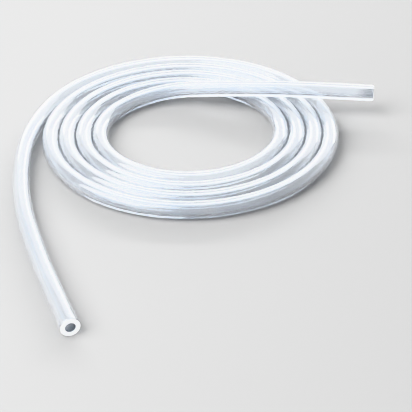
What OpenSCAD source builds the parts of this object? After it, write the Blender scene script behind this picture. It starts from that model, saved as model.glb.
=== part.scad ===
// Length of clear silicone laboratory tubing, wound into a flat coil.
// The tube lies on the ground plane z = 0. It runs from its outer end, round the coil
// from the outside inwards, and then over the turns to its inner end.
// The origin is at the middle of the footprint, on the ground. +Z is up.

/* [Tube] */
// Outer diameter of the tube
outer_d = 9; // [7:0.5:9]
// Diameter of the bore
bore_d = 5; // [3:0.5:6]

/* [Coil] */
// Turns that lie side by side
turns = 4; // [3:1:4]
// Radius of the outermost turn, to the middle of the tube
coil_r = 77; // [77:0.5:86]
// Gap between neighbouring turns
turn_gap = 0.15; // [0.1:0.05:0.3]

/* [Outer lead] */
// Straight stretch at the outer end
outer_straight = 30; // [15:1:60]
// Radius of the first slack bend, next to the straight stretch
slack_r_1 = 700; // [600:10:800]
// Radius of the second slack bend
slack_r_2 = 250; // [220:5:300]
// Radius of the third slack bend, next to the coil
slack_r_3 = 134; // [125:1:150]

/* [Inner lead] */
// Radius of the bend on the ground that tightens away from the innermost turn
eye_r = 42.5; // [41:0.5:44]
// Radius of the bend that climbs off the ground
climb_r = 40; // [39:0.5:42]
// Radius of the long low hump over the turns
hump_r = 272; // [260:1:300]
// Straight stretch at the inner end
inner_straight = 26; // [15:1:60]

/* [Hidden] */

outer_r = outer_d / 2;
pitch = outer_d + turn_gap;
section_fn = 48;
bend_fn = 240;

// Bend angles whose sine and cosine are short decimals, so that stretches meet exactly
angle_4 = atan2(237, 3116);
angle_16 = atan2(7, 24);
angle_21 = atan2(44, 117);
angle_33 = atan2(336, 527);
angle_74 = atan2(24, 7);
// How far the climbing bend leans upwards, and how far the hump then rolls over
climb_lean = 9.6;
hump_roll = 139.5;

// A stretch of the route is [length, radius, angle, roll]. A straight has radius 0.
// A bend turns clockwise as seen from above, after its roll about the tube's own axis.
function straight(length) = [length, 0, 0, 0];
function bend(radius, angle, roll = 0) = [0, radius, angle, roll];
function is_bend(s) = s[1] > 0;

// The coil is a chain of half turns, each half a pitch smaller in radius than the last
function half_turn_r(i) = coil_r - i * pitch / 2;
half_turns = 2 * turns - 1;

ROUTE = concat(
    [
        straight(outer_straight),
        bend(slack_r_1, angle_4),
        bend(slack_r_2, angle_16),
        bend(slack_r_3, angle_21),
        bend(half_turn_r(-1), 180 - angle_21)
    ],
    [for (i = [0 : half_turns - 1]) bend(half_turn_r(i), 180)],
    [
        bend(eye_r, angle_33),
        bend(climb_r, angle_74, -climb_lean),
        bend(hump_r, angle_16, hump_roll),
        straight(inner_straight)
    ]
);

// Matrices that walk the route: local +Y runs along the tube, local +X is on its right
function move_m(v) = [[1, 0, 0, v.x], [0, 1, 0, v.y], [0, 0, 1, v.z], [0, 0, 0, 1]];
function turn_m(a) = [[cos(a), sin(a), 0, 0], [-sin(a), cos(a), 0, 0], [0, 0, 1, 0], [0, 0, 0, 1]];
function roll_m(a) = [[cos(a), 0, sin(a), 0], [0, 1, 0, 0], [-sin(a), 0, cos(a), 0], [0, 0, 0, 1]];
function along_m(s, t) = roll_m(s[3]) * (is_bend(s)
    ? move_m([s[1], 0, 0]) * turn_m(t * s[2]) * move_m([-s[1], 0, 0])
    : move_m([0, t * s[0], 0]));

// Heading of the outer end, so that the coil's half turns meet on a line along X
start_turn = angle_4 + angle_16;
START = turn_m(-start_turn);
FRAMES = [for (i = 0, f = START; i < len(ROUTE); f = f * along_m(ROUTE[i], 1), i = i + 1) f];

// Reach of the tube's surface along one axis, side -1 or +1, over close points of the route
samples = 90;
function reach(m, k, side) = m[k][3] + side * outer_r * sqrt(max(0, 1 - m[k][1] * m[k][1]));
function reaches(k, side) = [
    for (i = [0 : len(ROUTE) - 1]) for (t = [0 : samples])
        reach(FRAMES[i] * along_m(ROUTE[i], t / samples), k, side)
];
function middle(k) = (min(reaches(k, -1)) + max(reaches(k, 1))) / 2;

module section() {
    difference() {
        circle(d = outer_d, $fn = section_fn);
        circle(d = bore_d, $fn = section_fn);
    }
}

// Puts its children at the far end of a stretch, facing along the tube
module at_end(s) {
    if (is_bend(s))
        translate([s[1], 0, 0]) rotate([0, 0, -s[2]]) translate([-s[1], 0, 0]) children();
    else
        translate([0, s[0], 0]) children();
}

module straight_tube(length) {
    rotate([-90, 0, 0]) linear_extrude(length) section();
}

// A bend is swept one diameter too far and cut back square where the next stretch starts
module bent_tube(s) {
    over_angle = outer_d / s[1] * 180 / PI;
    difference() {
        translate([s[1], 0, 0]) rotate([0, 180, 0])
            rotate_extrude(angle = s[2] + over_angle, $fn = bend_fn) translate([s[1], 0]) section();
        at_end(s) translate([-outer_d, 0, -outer_d]) cube(2 * outer_d);
    }
}

module tube_from(i) {
    s = ROUTE[i];
    rotate([0, s[3], 0]) {
        if (is_bend(s)) bent_tube(s);
        else straight_tube(s[0]);
        if (i + 1 < len(ROUTE)) at_end(s) tube_from(i + 1);
    }
}

module tubing() {
    color([0.90, 0.93, 0.96, 0.55])
        translate([-middle(0), -middle(1), outer_r])
            rotate([0, 0, start_turn]) tube_from(0);
}

tubing();
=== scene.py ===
import math

import bpy
from mathutils import Matrix, Vector


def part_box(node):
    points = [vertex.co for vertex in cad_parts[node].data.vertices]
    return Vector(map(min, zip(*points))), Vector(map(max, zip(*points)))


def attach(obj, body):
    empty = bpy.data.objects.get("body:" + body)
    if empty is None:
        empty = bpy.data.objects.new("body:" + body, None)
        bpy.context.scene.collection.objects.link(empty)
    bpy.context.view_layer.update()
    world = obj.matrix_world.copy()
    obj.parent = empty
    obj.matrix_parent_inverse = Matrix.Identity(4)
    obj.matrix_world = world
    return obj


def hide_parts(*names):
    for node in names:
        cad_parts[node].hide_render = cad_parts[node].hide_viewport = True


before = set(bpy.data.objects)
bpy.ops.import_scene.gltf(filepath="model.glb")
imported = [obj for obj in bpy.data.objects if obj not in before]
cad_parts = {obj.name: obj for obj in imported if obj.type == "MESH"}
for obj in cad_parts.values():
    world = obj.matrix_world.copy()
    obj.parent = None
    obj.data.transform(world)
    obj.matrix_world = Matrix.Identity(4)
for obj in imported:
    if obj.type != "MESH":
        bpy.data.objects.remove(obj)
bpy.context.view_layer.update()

tube_box_low = Vector(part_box("tubing")[0])


# ---------------------------------------------------------------- camera
# A long lens on a stand in front of the coil, a little above it, looking down at the
# table. The coil sits high and left in the frame, with free table in front of it.
coil_middle = Vector((-0.0048, 0.0412, 0.0045))
camera_from_coil = Vector((0.00787, -0.57164, 0.33603))
camera_down = math.radians(34.017)
camera_roll = math.radians(0.954)
camera_data = bpy.data.cameras.new("camera")
camera_data.sensor_width = 36.0
camera_data.lens = 104.85
camera_data.clip_start = 0.05
camera_data.clip_end = 20.0
camera = bpy.data.objects.new("camera", camera_data)
bpy.context.scene.collection.objects.link(camera)
bpy.context.scene.camera = camera
camera.matrix_world = (
    Matrix.Translation(coil_middle + camera_from_coil)
    @ Matrix.Rotation(math.radians(90.0) - camera_down, 4, "X")
    @ Matrix.Rotation(-camera_roll, 4, "Z")
)


# ---------------------------------------------------------------- tubing
# One two-metre length of extruded silicone rubber tube, 9 mm outside and 5 mm bore,
# cut square at both ends. It lies coiled on the table, and its inner end passes over
# the turns. Nothing holds it.
tube_r = 0.0045
bore_r = 0.0025
turns = 4
turn_gap = 0.00015
coil_r = 0.077
half_pitch = tube_r + turn_gap / 2

outer_straight = 0.030
slack_r_1 = 0.700
slack_r_2 = 0.250
slack_r_3 = 0.134
eye_r = 0.0425
climb_r = 0.040
climb_lean = math.radians(9.6)
hump_r = 0.272
hump_roll = math.radians(139.5)
inner_straight = 0.026

# Each stretch is (length, radius, angle, roll), as in the part's own source: a straight
# has radius 0, and a bend turns clockwise after its roll about the tube's own axis.
angle_4 = math.atan2(237, 3116)
angle_16 = math.atan2(7, 24)
angle_21 = math.atan2(44, 117)
angle_33 = math.atan2(336, 527)
angle_74 = math.atan2(24, 7)
route = [
    (outer_straight, 0, 0, 0),
    (0, slack_r_1, angle_4, 0),
    (0, slack_r_2, angle_16, 0),
    (0, slack_r_3, angle_21, 0),
    (0, coil_r + half_pitch, math.pi - angle_21, 0),
]
for half_turn in range(2 * turns - 1):
    route.append((0, coil_r - half_turn * half_pitch, math.pi, 0))
route += [
    (0, eye_r, angle_33, 0),
    (0, climb_r, angle_74, -climb_lean),
    (0, hump_r, angle_16, hump_roll),
    (inner_straight, 0, 0, 0),
]


def walk_route(stretches, step):
    """Points along the tube, with the direction of travel and a steady side direction."""
    place = Vector((0.0, 0.0, 0.0))
    heading = Matrix.Rotation(angle_4 + angle_16, 3, "Z")
    side = heading @ Vector((1.0, 0.0, 0.0))
    rings = [(place.copy(), heading @ Vector((0.0, 1.0, 0.0)), side.copy())]
    for length, radius, angle, roll in stretches:
        heading = heading @ Matrix.Rotation(roll, 3, "Y")
        run = length if radius == 0 else radius * angle
        steps = max(2, round(run / step))
        start, start_heading, start_side = place.copy(), heading.copy(), side.copy()
        for i in range(1, steps + 1):
            part = i / steps
            if radius == 0:
                place = start + start_heading @ Vector((0.0, length * part, 0.0))
            else:
                turned = Matrix.Rotation(-angle * part, 3, "Z")
                arm = Vector((radius, 0.0, 0.0))
                place = start + start_heading @ (arm - turned @ arm)
                heading = start_heading @ turned
                side = (start_heading @ turned @ start_heading.transposed()) @ start_side
            rings.append((place.copy(), heading @ Vector((0.0, 1.0, 0.0)), side.copy()))
    return rings


ring_step = 0.0021
rings = walk_route(route, ring_step)
# The walk starts from nought, so the rings are moved until they reach the frame's box
low = [
    min(place[k] - tube_r * math.sqrt(max(0.0, 1 - travel[k] ** 2)) for place, travel, side in rings)
    for k in range(3)
]
shift = tube_box_low - Vector(low)
rings = [(place + shift, travel, side) for place, travel, side in rings]

# The wall is one closed skin: out along the outer surface, over the cut face, back along
# the bore and over the other cut face, with a hair of rounding at the cut edges.
# Each row of the skin is (ring, radius, step along the tube from that ring, run so far).
sides = 44
edge_round = 0.00012
rows = len(rings)
last = rows - 1
travelled = [0.0]
for i in range(1, rows):
    travelled.append(travelled[-1] + (rings[i][0] - rings[i - 1][0]).length)
tube_length = travelled[last]

profile = [(i, tube_r, 0.0, travelled[i]) for i in range(rows)]
profile[0] = (0, tube_r, edge_round, edge_round)
profile[last] = (last, tube_r, -edge_round, tube_length - edge_round)
profile.append((last, tube_r - edge_round, 0.0, tube_length))
profile.append((last, bore_r + edge_round, 0.0, tube_length))
profile.append((last, bore_r, -edge_round, tube_length - edge_round))
profile += [(i, bore_r, 0.0, travelled[i]) for i in range(last - 1, 0, -1)]
profile.append((0, bore_r, edge_round, edge_round))
profile.append((0, bore_r + edge_round, 0.0, 0.0))
profile.append((0, tube_r - edge_round, 0.0, 0.0))

vertices = []
for index, radius, along, run in profile:
    place, travel, side = rings[index]
    up = side.cross(travel)
    for k in range(sides):
        around = 2 * math.pi * k / sides
        offset = side * math.cos(around) + up * math.sin(around)
        vertices.append(place + travel * along + offset * radius)
faces = []
loop_uvs = []
loops = len(profile)
for j in range(loops):
    nxt = (j + 1) % loops
    for k in range(sides):
        right = (k + 1) % sides
        faces.append((j * sides + k, nxt * sides + k, nxt * sides + right, j * sides + right))
        u0, u1 = k / sides, (k + 1) / sides
        v0, v1 = profile[j][3], profile[nxt][3]
        loop_uvs += [(u0, v0), (u0, v1), (u1, v1), (u1, v0)]
tube_mesh = bpy.data.meshes.new("silicone_tube")
tube_mesh.from_pydata(vertices, [], faces)
uv_layer = tube_mesh.uv_layers.new(name="along_tube")
for loop, uv in zip(uv_layer.data, loop_uvs):
    loop.uv = uv
tube_mesh.polygons.foreach_set("use_smooth", [True] * len(faces))
tube_mesh.update()
tube = bpy.data.objects.new("silicone_tube", tube_mesh)
bpy.context.scene.collection.objects.link(tube)


def silicone_finish_group():
    """Faint haze in the rubber, lines drawn by the die along the tube, and fine dust."""
    group = bpy.data.node_groups.new("silicone_finish", "ShaderNodeTree")
    sockets = group.interface
    for name, kind in (
        ("Clear Colour", "NodeSocketColor"),
        ("Hazy Colour", "NodeSocketColor"),
        ("Haze", "NodeSocketFloat"),
        ("Clean Roughness", "NodeSocketFloat"),
        ("Dusty Roughness", "NodeSocketFloat"),
        ("Die Lines", "NodeSocketFloat"),
        ("Grain", "NodeSocketFloat"),
    ):
        sockets.new_socket(name=name, in_out="INPUT", socket_type=kind)
    for name, kind in (
        ("Colour", "NodeSocketColor"),
        ("Roughness", "NodeSocketFloat"),
        ("Height", "NodeSocketFloat"),
    ):
        sockets.new_socket(name=name, in_out="OUTPUT", socket_type=kind)
    nodes, links = group.nodes, group.links
    given = nodes.new("NodeGroupInput")
    result = nodes.new("NodeGroupOutput")
    place = nodes.new("ShaderNodeTexCoord")

    cloud = nodes.new("ShaderNodeTexNoise")
    cloud.inputs["Scale"].default_value = 55.0
    cloud.inputs["Detail"].default_value = 4.0
    links.new(place.outputs["Object"], cloud.inputs["Vector"])
    cloud_mask = nodes.new("ShaderNodeMapRange")
    cloud_mask.inputs["From Min"].default_value = 0.35
    cloud_mask.inputs["From Max"].default_value = 0.68
    links.new(cloud.outputs["Fac"], cloud_mask.inputs["Value"])
    haze = nodes.new("ShaderNodeMath")
    haze.operation = "MULTIPLY"
    links.new(cloud_mask.outputs["Result"], haze.inputs[0])
    links.new(given.outputs["Haze"], haze.inputs[1])

    # Round the tube as a circle, so that the lines close without a seam
    around_along = nodes.new("ShaderNodeUVMap")
    around_along.uv_map = "along_tube"
    parts = nodes.new("ShaderNodeSeparateXYZ")
    links.new(around_along.outputs["UV"], parts.inputs["Vector"])
    turn = nodes.new("ShaderNodeMath")
    turn.operation = "MULTIPLY"
    turn.inputs[1].default_value = 2 * math.pi
    links.new(parts.outputs["X"], turn.inputs[0])
    drift = nodes.new("ShaderNodeMath")
    drift.operation = "MULTIPLY"
    drift.inputs[1].default_value = 0.7
    links.new(parts.outputs["Y"], drift.inputs[0])
    circle = nodes.new("ShaderNodeCombineXYZ")
    for function, axis in (("COSINE", "X"), ("SINE", "Y")):
        wave = nodes.new("ShaderNodeMath")
        wave.operation = function
        links.new(turn.outputs["Value"], wave.inputs[0])
        links.new(wave.outputs["Value"], circle.inputs[axis])
    links.new(drift.outputs["Value"], circle.inputs["Z"])
    lines = nodes.new("ShaderNodeTexNoise")
    lines.inputs["Scale"].default_value = 5.0
    lines.inputs["Detail"].default_value = 2.0
    lines.inputs["Roughness"].default_value = 0.6
    links.new(circle.outputs["Vector"], lines.inputs["Vector"])

    dust = nodes.new("ShaderNodeTexNoise")
    dust.inputs["Scale"].default_value = 1400.0
    dust.inputs["Detail"].default_value = 2.0
    links.new(place.outputs["Object"], dust.inputs["Vector"])
    dust_mask = nodes.new("ShaderNodeMapRange")
    dust_mask.inputs["From Min"].default_value = 0.62
    dust_mask.inputs["From Max"].default_value = 0.72
    links.new(dust.outputs["Fac"], dust_mask.inputs["Value"])

    colour = nodes.new("ShaderNodeMix")
    colour.data_type = "RGBA"
    links.new(haze.outputs["Value"], colour.inputs["Factor"])
    links.new(given.outputs["Clear Colour"], colour.inputs["A"])
    links.new(given.outputs["Hazy Colour"], colour.inputs["B"])
    links.new(colour.outputs["Result"], result.inputs["Colour"])

    wear = nodes.new("ShaderNodeMath")
    wear.operation = "MAXIMUM"
    links.new(dust_mask.outputs["Result"], wear.inputs[0])
    links.new(haze.outputs["Value"], wear.inputs[1])
    roughness = nodes.new("ShaderNodeMix")
    roughness.data_type = "FLOAT"
    links.new(wear.outputs["Value"], roughness.inputs["Factor"])
    links.new(given.outputs["Clean Roughness"], roughness.inputs["A"])
    links.new(given.outputs["Dusty Roughness"], roughness.inputs["B"])
    links.new(roughness.outputs["Result"], result.inputs["Roughness"])

    line_height = nodes.new("ShaderNodeMath")
    line_height.operation = "MULTIPLY"
    links.new(lines.outputs["Fac"], line_height.inputs[0])
    links.new(given.outputs["Die Lines"], line_height.inputs[1])
    grain_height = nodes.new("ShaderNodeMath")
    grain_height.operation = "MULTIPLY"
    links.new(dust.outputs["Fac"], grain_height.inputs[0])
    links.new(given.outputs["Grain"], grain_height.inputs[1])
    height = nodes.new("ShaderNodeMath")
    height.operation = "ADD"
    links.new(line_height.outputs["Value"], height.inputs[0])
    links.new(grain_height.outputs["Value"], height.inputs[1])
    links.new(height.outputs["Value"], result.inputs["Height"])
    return group


silicone_finish = silicone_finish_group()


def silicone_material(name, finish, relief):
    """A silicone surface with its own values of the shared finish, and its relief in metres.

    Returns the material, its shader and its node of the shared finish."""
    material = bpy.data.materials.new(name)
    material.use_nodes = True
    nodes, links = material.node_tree.nodes, material.node_tree.links
    shader = nodes["Principled BSDF"]
    group = nodes.new("ShaderNodeGroup")
    group.node_tree = silicone_finish
    for socket, value in finish.items():
        group.inputs[socket].default_value = value
    bump = nodes.new("ShaderNodeBump")
    bump.inputs["Distance"].default_value = relief
    links.new(group.outputs["Height"], bump.inputs["Height"])
    links.new(bump.outputs["Normal"], shader.inputs["Normal"])
    links.new(group.outputs["Roughness"], shader.inputs["Roughness"])
    links.new(group.outputs["Colour"], shader.inputs["Base Color"])
    shader.inputs["IOR"].default_value = 1.41
    return material, shader, group


wall, wall_shader, _ = silicone_material(
    "silicone_wall",
    {
        "Clear Colour": (0.91, 0.95, 1.0, 1.0),
        "Hazy Colour": (0.97, 0.98, 1.0, 1.0),
        "Haze": 0.6,
        "Clean Roughness": 0.07,
        "Dusty Roughness": 0.14,
        "Die Lines": 1.0,
        "Grain": 0.03,
    },
    0.00003,
)
wall_shader.inputs["Transmission Weight"].default_value = 0.92
wall_shader.inputs["Coat Weight"].default_value = 1.0
wall_shader.inputs["Coat Roughness"].default_value = 0.05
wall_shader.inputs["Coat IOR"].default_value = 1.50

bore, bore_shader, bore_finish = silicone_material(
    "silicone_bore",
    {
        "Clear Colour": (0.91, 0.95, 1.0, 1.0),
        "Hazy Colour": (0.98, 0.99, 1.0, 1.0),
        "Haze": 0.6,
        "Clean Roughness": 0.08,
        "Dusty Roughness": 0.16,
        "Die Lines": 1.0,
        "Grain": 0.03,
    },
    0.00002,
)
bore_shader.inputs["Transmission Weight"].default_value = 0.92

# Painted shade: near each open end the bore's colour is darkened towards a dark colour, standing in
# for the shade inside an open mouth, and it clears further in.
# Through the wall, from the rubber's side, only a part of that painted shade shows.
mouth_shade_colour = (0.10, 0.125, 0.155, 1.0)
mouth_shade_depth = 0.012
mouth_shade_seen_through_wall = 0.03
bore_nodes, bore_links = bore.node_tree.nodes, bore.node_tree.links
bore_uv = bore_nodes.new("ShaderNodeUVMap")
bore_uv.uv_map = "along_tube"
bore_parts = bore_nodes.new("ShaderNodeSeparateXYZ")
bore_links.new(bore_uv.outputs["UV"], bore_parts.inputs["Vector"])
other_end = bore_nodes.new("ShaderNodeMath")
other_end.operation = "SUBTRACT"
other_end.inputs[0].default_value = tube_length
bore_links.new(bore_parts.outputs["Y"], other_end.inputs[1])
nearest_end = bore_nodes.new("ShaderNodeMath")
nearest_end.operation = "MINIMUM"
bore_links.new(bore_parts.outputs["Y"], nearest_end.inputs[0])
bore_links.new(other_end.outputs["Value"], nearest_end.inputs[1])
inwards = bore_nodes.new("ShaderNodeMapRange")
inwards.interpolation_type = "SMOOTHSTEP"
inwards.inputs["From Max"].default_value = mouth_shade_depth
inwards.inputs["To Min"].default_value = 1.0
inwards.inputs["To Max"].default_value = 0.0
bore_links.new(nearest_end.outputs["Value"], inwards.inputs["Value"])
bore_side = bore_nodes.new("ShaderNodeNewGeometry")
side_share = bore_nodes.new("ShaderNodeMapRange")
side_share.inputs["To Min"].default_value = 1.0
side_share.inputs["To Max"].default_value = mouth_shade_seen_through_wall
bore_links.new(bore_side.outputs["Backfacing"], side_share.inputs["Value"])
painted_mouth_shade = bore_nodes.new("ShaderNodeMath")
painted_mouth_shade.operation = "MULTIPLY"
bore_links.new(inwards.outputs["Result"], painted_mouth_shade.inputs[0])
bore_links.new(side_share.outputs["Result"], painted_mouth_shade.inputs[1])
# The painted mouth shade is mixed into the bore's own colour here
bore_colour_and_mouth_shade = bore_nodes.new("ShaderNodeMix")
bore_colour_and_mouth_shade.data_type = "RGBA"
bore_colour_and_mouth_shade.inputs["B"].default_value = mouth_shade_colour
bore_links.new(painted_mouth_shade.outputs["Value"], bore_colour_and_mouth_shade.inputs["Factor"])
bore_links.new(bore_finish.outputs["Colour"], bore_colour_and_mouth_shade.inputs["A"])
bore_links.new(bore_colour_and_mouth_shade.outputs["Result"], bore_shader.inputs["Base Color"])

cut, cut_shader, _ = silicone_material(
    "silicone_cut",
    {
        "Clear Colour": (0.92, 0.94, 0.96, 1.0),
        "Hazy Colour": (0.98, 0.98, 0.98, 1.0),
        "Haze": 0.8,
        "Clean Roughness": 0.45,
        "Dusty Roughness": 0.60,
        "Die Lines": 0.0,
        "Grain": 1.0,
    },
    0.00004,
)
# Painted glow: a little emission on the cut face stands in for light that the clear wall carries
# along to it
cut_shader.inputs["Emission Color"].default_value = (0.97, 0.985, 1.0, 1.0)
cut_shader.inputs["Emission Strength"].default_value = 0.40

# The skin's rows are the wall, a rounded edge, a cut face, a rounded edge, the bore, and
# the same three again. The cut faces themselves are flat.
wall_slot, bore_slot, cut_slot = 0, 1, 2
for material in (wall, bore, cut):
    tube_mesh.materials.append(material)
for j in range(loops):
    if j < last:
        surface = wall_slot
    elif j < last + 3 or j >= loops - 3:
        surface = cut_slot
    else:
        surface = bore_slot
    for face in tube_mesh.polygons[j * sides:(j + 1) * sides]:
        face.material_index = surface
        face.use_smooth = j not in (last + 1, loops - 2)

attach(tube, "root")
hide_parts("tubing")


# ---------------------------------------------------------------- table and light
# A plain pale table in a white room. One soft box stands in front on the left, and a
# wide one with a narrow strip below it stands behind the coil and lights its far sides.
reach = 4.0
floor_corners = [(-reach, -reach, 0), (reach, -reach, 0), (reach, reach, 0), (-reach, reach, 0)]
floor_mesh = bpy.data.meshes.new("floor")
floor_mesh.from_pydata(floor_corners, [], [(0, 1, 2, 3)])
floor = bpy.data.objects.new("floor", floor_mesh)
bpy.context.scene.collection.objects.link(floor)
floor_material = bpy.data.materials.new("floor_card")
floor_material.use_nodes = True
floor_shader = floor_material.node_tree.nodes["Principled BSDF"]
floor_shader.inputs["Base Color"].default_value = (0.28, 0.28, 0.28, 1.0)
floor_shader.inputs["Roughness"].default_value = 0.8
floor_shader.inputs["Specular IOR Level"].default_value = 0.15
floor_mesh.materials.append(floor_material)


def soft_box(name, place, aim, size, watts):
    """A rectangular studio light at a place, turned towards its aim."""
    data = bpy.data.lights.new(name, "AREA")
    data.shape = "RECTANGLE"
    data.size, data.size_y = size
    data.energy = watts
    box = bpy.data.objects.new(name, data)
    box.location = place
    box.rotation_euler = (Vector(aim) - Vector(place)).to_track_quat("-Z", "Y").to_euler()
    bpy.context.scene.collection.objects.link(box)


soft_box("soft_box_key", (-0.66, -0.25, 0.85), (-0.05, 0.05, 0), (1.0, 1.0), 28)
soft_box("soft_box_panel", (0.15, 1.55, 0.75), (0, 0, 0.2), (2.4, 1.3), 26)
soft_box("soft_box_strip", (0.15, 1.45, 0.60), (0, 0, 0.1), (2.2, 0.10), 22)

world = bpy.data.worlds.new("room")
bpy.context.scene.world = world
world.use_nodes = True
room = world.node_tree.nodes["Background"]
room.inputs["Color"].default_value = (1.0, 1.0, 1.0, 1.0)
room.inputs["Strength"].default_value = 0.90

# Clear tube lies over clear tube, so light may pass through many walls
render_paths = bpy.context.scene.cycles
render_paths.max_bounces = 32
render_paths.transmission_bounces = 32
render_paths.diffuse_bounces = 8
render_paths.glossy_bounces = 8

bpy.context.scene.view_settings.view_transform = "Khronos PBR Neutral"
